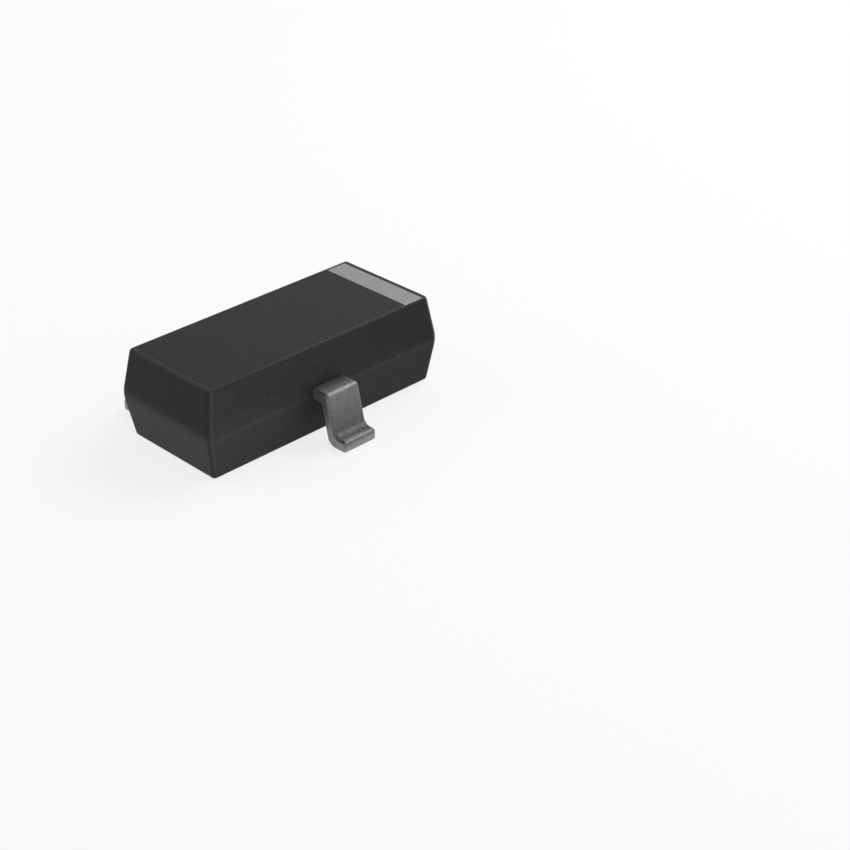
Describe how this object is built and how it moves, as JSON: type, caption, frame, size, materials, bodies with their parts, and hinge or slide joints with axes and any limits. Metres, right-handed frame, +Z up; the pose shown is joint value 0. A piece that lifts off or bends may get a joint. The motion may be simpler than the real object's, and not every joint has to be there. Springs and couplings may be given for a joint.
{
  "type": "sot-23 transistor",
  "caption": "Surface-mount transistor: black moulded epoxy block with a printed grey end band and tin-plated gull-wing leads, its chip and bond wires sealed inside.",
  "frame": {"origin": "on the soldering plane, under the middle of the body and of the lead span", "axes": "+Z up from the board; +X along the body towards the end with the printed band; -Y towards the side with the single collector lead"},
  "size_m": [0.0028, 0.0022, 0.0009],
  "materials": {
    "epoxy": "fine matt moulded black",
    "band_ink": "flat grey print",
    "tinned_lead": "matt tin plate on copper alloy",
    "silicon": "polished silicon",
    "bond_adhesive": "silver-filled adhesive",
    "pad_metal": "sputtered aluminium",
    "wire_gold": "drawn gold wire"
  },
  "bodies": {
    "root": {"mould_body": "epoxy", "end_band": "band_ink", "collector_lead": "tinned_lead", "base_lead": "tinned_lead", "emitter_lead": "tinned_lead", "bond_film": "bond_adhesive", "silicon_chip": "silicon", "base_pad": "pad_metal", "emitter_pad": "pad_metal", "base_wire": "wire_gold", "emitter_wire": "wire_gold"}
  },
  "joints": []
}
